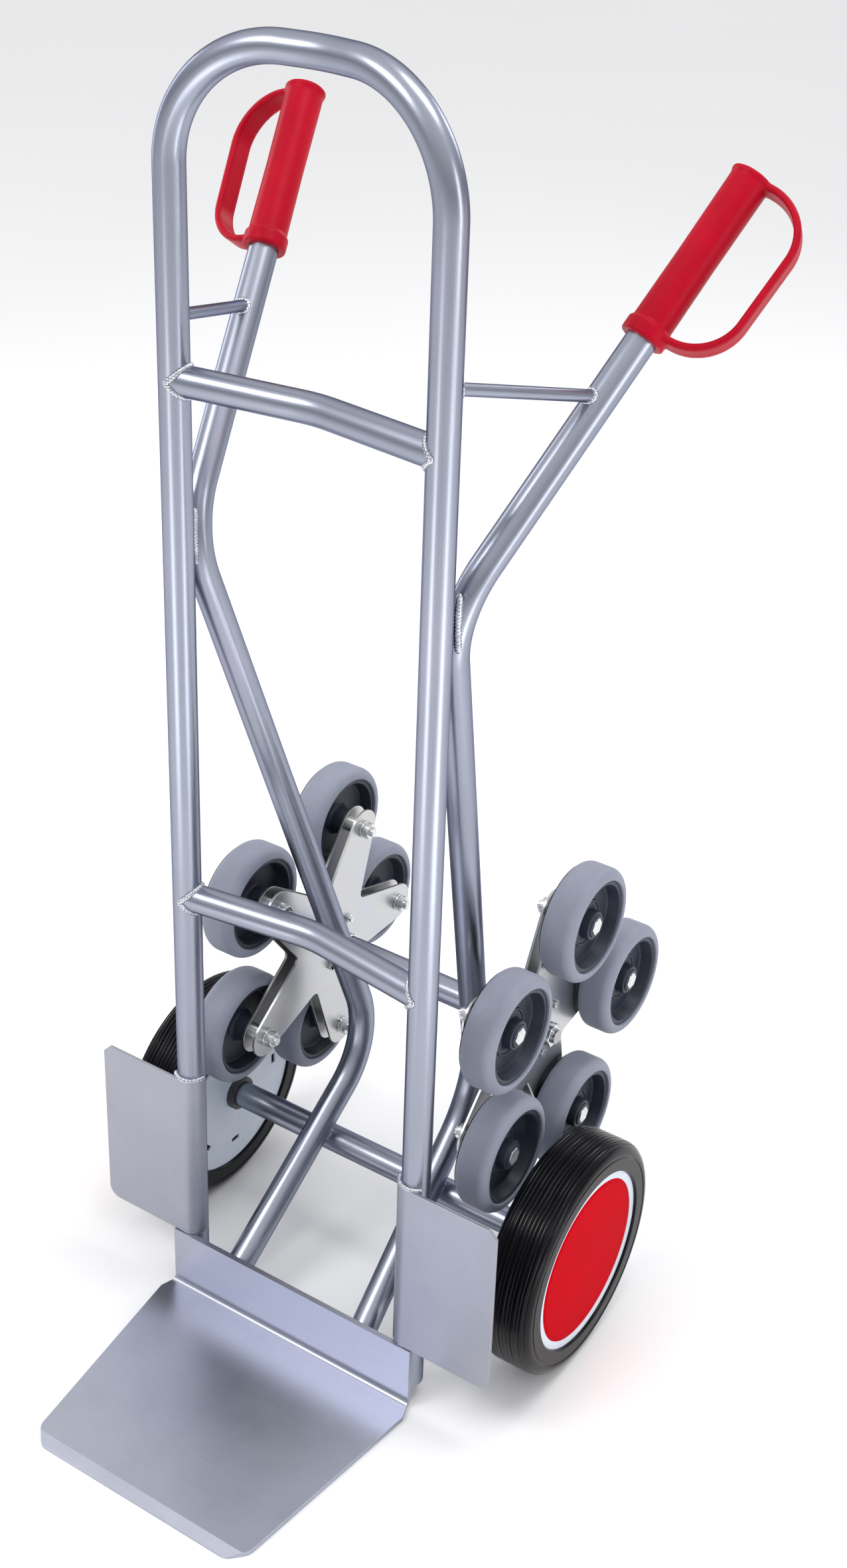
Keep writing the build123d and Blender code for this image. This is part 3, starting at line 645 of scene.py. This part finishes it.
for side, sign in SIDES:
    contact_x = elbow_x * sign
    for offset in (-0.0085, 0.0085):
        height = np.linspace(elbow_z - 0.034, elbow_z + 0.026, 20)
        depth = plane_y + tube_r + 0.0012 + 0.5 * (height - elbow_z) ** 2 / (2 * elbow_radius)
        curve = np.stack([np.full(20, contact_x + offset), depth, height], -1)
        beads.append(bead(curve, np.broadcast_to(BACK, curve.shape), 0.0036, False, 31 + int(sign)))
    path = handle_paths[side]
    for centre in (axle, star):
        flat = path[:, 1:] - centre[1:]
        nearest = int(np.argmin((flat**2).sum(1)))
        way = unit(path[min(nearest + 1, len(path) - 1)] - path[nearest - 1])
        offset = path[nearest] - np.array([path[nearest][0], centre[1], centre[2]])
        offset = offset - (offset @ way) * way
        point = np.array([path[nearest][0], centre[1], centre[2]]) + unit(offset) * tube_r
        curve, side_way = contact_ring(point, RIGHT, unit(way - (way @ RIGHT) * RIGHT))
        beads.append(bead(curve, side_way, 0.0026, True, 41))

# %% [markdown]
# The wing plates curl round the uprights and are welded along their upper edge and in short stitches
# behind. The uprights stand against the load plate's flange, with a bead down each side.

# %% Welds at the plates
wing_low, wing_high = span("right_wing_plate")
for side, sign in SIDES:
    angle = np.radians(np.linspace(172, 330, 60))
    for height, size in ((wing_high[2] + 0.0004, 0.0028), (wing_low[2] - 0.0004, 0.0022)):
        spokes = np.stack([sign * np.cos(angle), np.sin(angle), np.zeros(60)], -1)
        curve = spokes * (tube_r + 0.0012) + np.array([sign * frame_half, plane_y, height])
        beads.append(bead(curve, spokes, size, False, 51))
    for low, high in ((0.098, 0.122), (0.178, 0.206), (0.255, 0.283)):
        height = np.linspace(low, high, 12)
        x = np.full(12, sign * (frame_half + 0.0125))
        curve = np.stack([x, np.full(12, plane_y - 0.0135), height], -1)
        beads.append(bead(curve, np.broadcast_to(BACK, curve.shape), 0.0024, False, 61))
    for offset in (-0.0062, 0.0062):
        height = np.linspace(foot_z + 0.004, 0.077, 24)
        x = np.full(24, sign * frame_half + offset)
        curve = np.stack([x, np.full(24, flange_back + 0.0014), height], -1)
        beads.append(bead(curve, np.broadcast_to(BACK, curve.shape), 0.0024, False, 71))
piece("frame_welds", beads, "frame", weld, sharp=60)

# %% [markdown]
# Plates, nuts and hubs have the right shape in the frame already. Real edges are never knife sharp, so
# a copy of each is merged into one skin and gets a Bevel modifier half a millimetre wide. The rounded
# edge catches a thin line of light, which is most of what makes a plate look like metal.

# %% Softened copies of frame nodes
def softened(node, body, finish, width, name=None, segments=2):
    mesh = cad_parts[node].data.copy()
    skin = bmesh.new()
    skin.from_mesh(mesh)
    bmesh.ops.remove_doubles(skin, verts=skin.verts, dist=2e-6)
    bmesh.ops.dissolve_limit(skin, angle_limit=math.radians(0.5), verts=skin.verts, edges=skin.edges)
    skin.to_mesh(mesh)
    skin.free()
    made = settle(name or node + "_soft", mesh, body, finish, [node], 30)
    bevel = made.modifiers.new("edge", "BEVEL")
    bevel.width = width
    bevel.segments = segments
    bevel.limit_method = "ANGLE"
    bevel.angle_limit = math.radians(35)
    bevel.harden_normals = False
    return made


softened("toe_plate", "frame", plate_aluminium, 0.0007, "load_plate", 3)
for side, sign in SIDES:
    softened(side + "_wing_plate", "frame", wing_aluminium, 0.0006, side + "_wing", 3)
    for plate in ("inner", "outer"):
        name = f"{side}_star_{plate}"
        softened(f"{side}_star_{plate}_plate", side + "_star", zinc_plate, 0.0004, name)
    for node, width, name in (
        ("_star_screws", 0.0004, "_clamp_screws"),
        ("_wheel_nuts", 0.0006, "_bolt_nuts"),
        ("_wheel_bolts", 0.0006, "_bolts"),
    ):
        softened(side + node, side + "_star", zinc_fastener, width, side + name)
    softened(side + "_star_hub", side + "_star", zinc_plate, 0.0005, side + "_hub")
    softened(side + "_wheel_rim", side + "_wheel", pale_rim, 0.0008, side + "_rim")
softened("star_shaft_fasteners", "frame", zinc_fastener, 0.0007, "shaft_nuts")
softened("axle_collars", "frame", bush_plastic, 0.0008, "axle_collar_rings")

# %% [markdown]
# The nodes that stay as they are get a finish of their own, because most of them show only a little:
# shafts, sleeves, bushes and retaining rings.

# %% Finishes for the nodes that stay
kept_finishes = {"axle_shaft": axle_steel, "star_shaft": axle_steel, "axle_retaining_rings": zinc_fastener}
for node, finish in kept_finishes.items():
    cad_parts[node].material_slots[0].material = finish
for side, sign in SIDES:
    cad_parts[side + "_wheel_bush"].material_slots[0].material = bush_plastic
    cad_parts[side + "_wheel_sleeves"].material_slots[0].material = zinc_fastener

# %% [markdown]
# A main wheel is turned: one profile, spun about the axle. The tyre's tread is a row of rounded ribs, so
# the profile is a rounded box whose outer side is pushed in by a narrow groove at each rib's edge.

# %% Main wheels
rib_count = 11


def tyre_profile(low, high, inner, outer, shoulder):
    """Rounded box with grooves: radius less depth * exp(-(distance to a groove / width)^2)."""
    corners = [(low, inner), (high, inner), (high, outer), (low, outer)]
    outline = rounded_outline(corners, [0.002, 0.002, shoulder, shoulder], 14)
    fine = np.vstack([outline, outline[:1]])
    length = running_length(fine)
    places = np.linspace(0, length[-1], 460, endpoint=False)
    outline = np.stack([np.interp(places, length, fine[:, axis]) for axis in range(2)], -1)
    edges = np.linspace(low + shoulder * 0.42, high - shoulder * 0.42, rib_count + 1)
    deep = 0.7 + 0.3 * np.cos(np.arange(rib_count + 1) * 2.4)
    near = (deep * np.exp(-(((outline[:, :1] - edges) / 0.0008) ** 2))).sum(1)
    tread = np.clip((outline[:, 1] - (outer - shoulder * 0.75)) / 0.002, 0, 1)
    outline[:, 1] -= 0.0017 * near * tread
    sidewall = np.exp(-(((outline[:, 1] - (outer - shoulder * 1.15)) / 0.0010) ** 2))
    outline[:, 0] += np.sign((low + high) / 2 - outline[:, 0]) * 0.0010 * sidewall * (1 - tread)
    return outline


for side, sign in SIDES:
    low, high = span(side + "_wheel_tyre")
    rim_low, rim_high = span(side + "_wheel_rim")
    radius = (high[2] - low[2]) / 2
    inner = (rim_high[2] - rim_low[2]) / 2
    profile = tyre_profile(low[0], high[0], inner, radius, 0.013)
    made = shell(turned(profile, np.array([0.0, axle[1], axle[2]]), steps=160), along=True)
    piece(side + "_tyre", [made], side + "_wheel", black_rubber, [side + "_wheel_tyre"])

# %% [markdown]
# The outer cap is a thin red moulding, slightly domed, with a step round its edge and two faint rings
# from the mould. It hides the hub from outside.

# %% Red caps
for side, sign in SIDES:
    low, high = span(side + "_wheel_cap")
    face = high[0] if sign > 0 else low[0]
    radius = (high[2] - low[2]) / 2
    reach = np.linspace(0.002, radius, 90)
    dome = 0.0016 * (1 - (reach / radius) ** 2)
    rings = 0.00012 * sum(np.exp(-(((reach - share * radius) / 0.0012) ** 2)) for share in (0.30, 0.62))
    edge = -0.0010 * np.clip((reach - 0.955 * radius) / 0.0012, 0, 1)
    outside = np.stack([dome - rings + edge, reach], -1)
    skirt = np.array([(-0.0012, radius), (-0.0100, radius), (-0.0100, radius - 0.0025)])
    inside = np.array([(-0.0035, radius - 0.0035), (-0.0030, 0.002)])
    profile = np.vstack([outside, skirt, inside]) * np.array([sign, 1.0])
    made = shell(turned(profile, np.array([face, axle[1], axle[2]]), steps=128))
    piece(side + "_cap", [made], side + "_wheel", red_cap, [side + "_wheel_cap"], 50)

# %% [markdown]
# The small wheels are turned as well. The tyre is a thick soft ring with round shoulders and a faint
# mould line in the middle of its tread. The core is one closed profile: rim, thin web with a raised
# ring, stepped hub and bore.

# %% Small wheels
def small_tyre_profile(half, inner, outer):
    corners = [(-half, inner), (half, inner), (half, outer), (-half, outer)]
    outline = rounded_outline(corners, [0.0015, 0.0015, 0.0105, 0.0105], 12)
    line = np.exp(-((outline[:, 0] / 0.0006) ** 2)) * (outline[:, 1] > outer - 0.002)
    outline[:, 1] -= 0.0003 * line
    return outline


def core_profile(half, rim, hub_in, hub_out, hub_r, bore):
    """Corners of the core's half section, outer side first, each with its own rounding."""
    corners = [
        (hub_out, bore), (hub_out, hub_r - 0.0035), (hub_out - 0.0020, hub_r - 0.0030),
        (hub_out - 0.0022, hub_r), (0.0042, hub_r + 0.0008), (0.0030, hub_r + 0.0040),
        (0.0030, hub_r + 0.0075), (0.0046, hub_r + 0.0082), (0.0046, hub_r + 0.0100),
        (0.0030, hub_r + 0.0107), (0.0026, rim - 0.0085), (half, rim - 0.0052), (half, rim),
        (-half, rim), (-half, rim - 0.0052), (-0.0026, rim - 0.0085), (-0.0026, hub_r + 0.0030),
        (-0.0050, hub_r), (hub_in, hub_r - 0.0005), (hub_in, bore),
    ]
    radii = [
        0.0006, 0.0008, 0.0004, 0.0010, 0.0012, 0.0015, 0.0005, 0.0005, 0.0005, 0.0005,
        0.0030, 0.0010, 0.0008, 0.0008, 0.0010, 0.0030, 0.0015, 0.0015, 0.0010, 0.0006,
    ]
    return rounded_outline(corners, radii, 4)


for side, sign in SIDES:
    for number in range(1, 6):
        body = f"{side}_small_wheel_{number}"
        tyre_node, core_node = f"{side}_small_tyre_{number}", f"{side}_small_core_{number}"
        low, high = span(tyre_node)
        centre = (low + high) / 2
        core_low, core_high = span(core_node)
        half, outer = (high[0] - low[0]) / 2, (high[2] - low[2]) / 2
        rim = (core_high[2] - core_low[2]) / 2
        profile = small_tyre_profile(half, rim, outer)
        made = shell(turned(profile, centre, steps=112), along=True)
        piece(f"{side}_grey_tyre_{number}", [made], body, grey_rubber, [tyre_node])
        ends = sorted([(core_low[0] - centre[0]) * sign, (core_high[0] - centre[0]) * sign])
        profile = core_profile(half - 0.0028, rim, ends[0], ends[1], 0.016, 0.00705)
        profile = profile * np.array([sign, 1.0])
        made = shell(turned(profile, centre, steps=96), along=True)
        piece(f"{side}_core_{number}", [made], body, dark_core, [core_node], 40)

# %% [markdown]
# A grip is one moulding: a barrel pushed over the tube's end, a collar, a rim, and a guard that loops
# from one to the other. The barrel, collar and rim are turned as one shape and the guard is made apart,
# then a Remesh turns the two into one skin, and a few rounds of smoothing leave the soft inside corners of a
# moulding.

# %% Grips
grip_length = 0.182
grip_tip = 0.004
grip_r = 0.0195
guard_turn = math.radians(13)
guard_reach = 0.079
guard_lean = 0.005
guard_low = 0.006
guard_thick = 0.009
guard_width = 0.024


def guard_section(steps=40):
    """Flat strap with soft corners, a little thinner in its middle: a squared circle, then a saddle."""
    angle = np.linspace(0, 2 * np.pi, steps, endpoint=False)
    cos, sin = np.cos(angle), np.sin(angle)
    wide = guard_width / 2 * np.sign(cos) * np.abs(cos) ** 0.55
    thick = guard_thick / 2 * np.sign(sin) * np.abs(sin) ** 0.60
    thick = thick * (0.78 + 0.22 * (2 * wide / guard_width) ** 2)
    return np.stack([wide, thick], -1)


def grip_shells(sign):
    way = handle_way * flip[sign]
    base = handle_end * flip[sign] - way * (grip_length - grip_tip)
    outward = unit(RIGHT * sign - way * (way @ RIGHT) * sign)
    rearward = np.cross(way, outward) * sign
    outward = outward * math.cos(guard_turn) + rearward * math.sin(guard_turn)
    square = np.cross(way, outward)
    barrel = np.array([
        (0.0, 0.0152), (0.0, 0.0212), (0.0012, 0.0220), (0.0138, 0.0220), (0.0150, 0.0212), (0.0152, grip_r),
        (0.0900, grip_r - 0.0005), (grip_length - 0.0075, grip_r), (grip_length - 0.0050, 0.0202),
        (grip_length - 0.0042, 0.0210), (grip_length - 0.0010, 0.0210), (grip_length, 0.0200),
        (grip_length + 0.0002, 0.0060),
    ])
    solid = shell(turned(barrel, base, way, UP, 72))
    mid = guard_thick / 2
    low, high = guard_low + mid, grip_length - mid
    reach = guard_reach - mid
    corners = [(0.010, low), (reach - guard_lean, low), (reach, high), (0.008, high)]
    flat = rounded_path(corners, [0.047, 0.049], 0.002, 20)
    line = base + flat[:, :1] * outward + flat[:, 1:] * way
    strap = shell(carried(line, square, guard_section()))
    return [solid, strap]


def welded_skin(made, voxel, rounds):
    """Applies a Remesh and a Smooth to a piece and puts the result back as its own mesh."""
    remesh = made.modifiers.new("skin", "REMESH")
    remesh.mode = "VOXEL"
    remesh.voxel_size = voxel
    smooth = made.modifiers.new("soft", "SMOOTH")
    smooth.iterations = rounds
    smooth.factor = 0.5
    bpy.context.view_layer.update()
    solid = made.evaluated_get(bpy.context.evaluated_depsgraph_get())
    mesh = bpy.data.meshes.new_from_object(solid)
    made.modifiers.clear()
    made.data = mesh
    mesh.shade_smooth()
    print(made.name, len(mesh.polygons), "faces after the remesh")


for side, sign in SIDES:
    made = piece(side + "_moulded_grip", grip_shells(sign), "frame", red_grip, [side + "_grip"])
    welded_skin(made, 0.0013, 4)

# %% [markdown]
# The floor is plain and pale, and it reaches far enough to fill the view behind the trolley. Metal only
# shows what stands round it, so the light comes from a few large soft boxes with gaps between them: the
# boxes draw long highlights down the tubes and the gaps draw the darker bands beside them.

# %% Floor
def floor_finish():
    material, shade = new_finish("pale_floor")
    place = shade.node("TexCoord", {}, output="Object")
    clouds = shade.noise(place, 0.6, 2.0)
    colour = shade.blend(clouds, rgb(0.88, 0.88, 0.89), rgb(0.92, 0.92, 0.925))
    shade.finish({"Base Color": colour, "Roughness": clouds * 0.1 + 0.6}, clouds, 0.02)
    return material


floor_reach = 60.0
edge = circle(floor_reach, 96)
mesh = bpy.data.meshes.new("floor")
mesh.from_pydata([(x, y, 0.0) for x, y in edge.tolist()], [], [list(range(96))])
mesh.materials.append(floor_finish())
floor = bpy.data.objects.new("floor", mesh)
bpy.context.scene.collection.objects.link(floor)

# %% Light
world = bpy.data.worlds.new("studio")
world.use_nodes = True
bpy.context.scene.world = world
world_shade = Shade(world.node_tree)
sky_way = world_shade.node("TexCoord", {}, output="Generated")
sky_up = world_shade.node("SeparateXYZ", {"Vector": sky_way}, output=2)
sky = world_shade.blend(world_shade.between(sky_up, 0.0, 0.7), rgb(0.34, 0.35, 0.38), rgb(1.0, 1.0, 1.0))
seen = world_shade.node("LightPath", {}, output="Is Camera Ray")
sky = world_shade.blend(seen, sky, rgb(0.88, 0.885, 0.90))
background = world.node_tree.nodes["Background"]
world.node_tree.links.new(sky.socket, background.inputs["Color"])
background.inputs["Strength"].default_value = 1.0


def standing(x, y, z, place):
    """Matrix of an object whose own three axes point along x, y and z from a place."""
    turn = np.eye(4)
    turn[:3, :4] = np.stack([x, y, z, place], 1)
    return Matrix(turn.tolist())


def soft_box(name, place, target, width, height, watts):
    """A rectangular light that faces its target."""
    away = unit(np.array(place, float) - np.array(target, float))
    across = unit(np.cross(UP, away))
    return area_light(name, standing(across, np.cross(away, across), away, place), width, height, watts)


def area_light(name, matrix, width, height, watts):
    """A rectangle that shines along its own -Z. The camera looks through it, the metal reflects it."""
    light = bpy.data.lights.new(name, "AREA")
    light.shape = "RECTANGLE"
    light.size = width
    light.size_y = height
    light.energy = watts
    lamp = bpy.data.objects.new(name, light)
    lamp.matrix_world = matrix
    lamp.visible_camera = False
    bpy.context.scene.collection.objects.link(lamp)
    return lamp


soft_box("key", (-1.3, -2.2, 3.6), (0, 0.2, 0.5), 1.5, 0.9, 46)
soft_box("top", (0.9, 0.6, 3.8), (0, 0.3, 0.5), 0.8, 1.6, 30)
soft_box("left_strip", (-2.8, 0.6, 1.4), (0, 0.2, 0.6), 0.6, 1.8, 14)
soft_box("right_strip", (2.9, 0.4, 1.3), (0, 0.2, 0.6), 0.5, 2.2, 16)
soft_box("rear_box", (0.6, 3.4, 2.2), (0, 0.2, 0.7), 1.2, 1.2, 22)


def floor_strip(name, heading, near, far, width, watts):
    """A narrow light lying on the floor and shining up, which draws a line down every upright tube."""
    way = np.array([math.cos(math.radians(heading)), math.sin(math.radians(heading)), 0.0])
    matrix = standing(np.cross(way, -UP), way, -UP, way * (near + far) / 2 + UP * 0.01)
    return area_light(name, matrix, width, far - near, watts)


floor_strip("front_floor_strip", -97, 0.95, 3.6, 0.60, 13)
floor_strip("right_floor_strip", -4, 0.95, 3.6, 0.60, 13)

# %% [markdown]
# The camera stands to the right of the front at about head height and looks down on the trolley, with
# a slight roll to one side.

# %% Camera
azimuth, elevation, roll = math.radians(30.851), math.radians(26.62), math.radians(3.087)
place = np.array([1.0336, -1.2143, 1.7371])
forward = np.array([
    -math.sin(azimuth) * math.cos(elevation), math.cos(azimuth) * math.cos(elevation), -math.sin(elevation)
])
level = unit(np.cross(forward, UP))
upright = np.cross(level, forward)
across = math.cos(roll) * level + math.sin(roll) * upright
rise = -math.sin(roll) * level + math.cos(roll) * upright
camera_data = bpy.data.cameras.new("camera")
camera_data.sensor_width = 36.0
camera_data.lens = 47.55
camera_data.shift_x = -0.0531
camera_data.shift_y = -0.0990
camera_data.clip_end = 200.0
camera = bpy.data.objects.new("camera", camera_data)
camera.matrix_world = standing(across, rise, -forward, place)
bpy.context.scene.collection.objects.link(camera)
bpy.context.scene.camera = camera

# %% [markdown]
# A plain display transform keeps the red as strong and the rubber as dark as they are under studio light.

# %% Display transform
bpy.context.scene.view_settings.view_transform = "Standard"
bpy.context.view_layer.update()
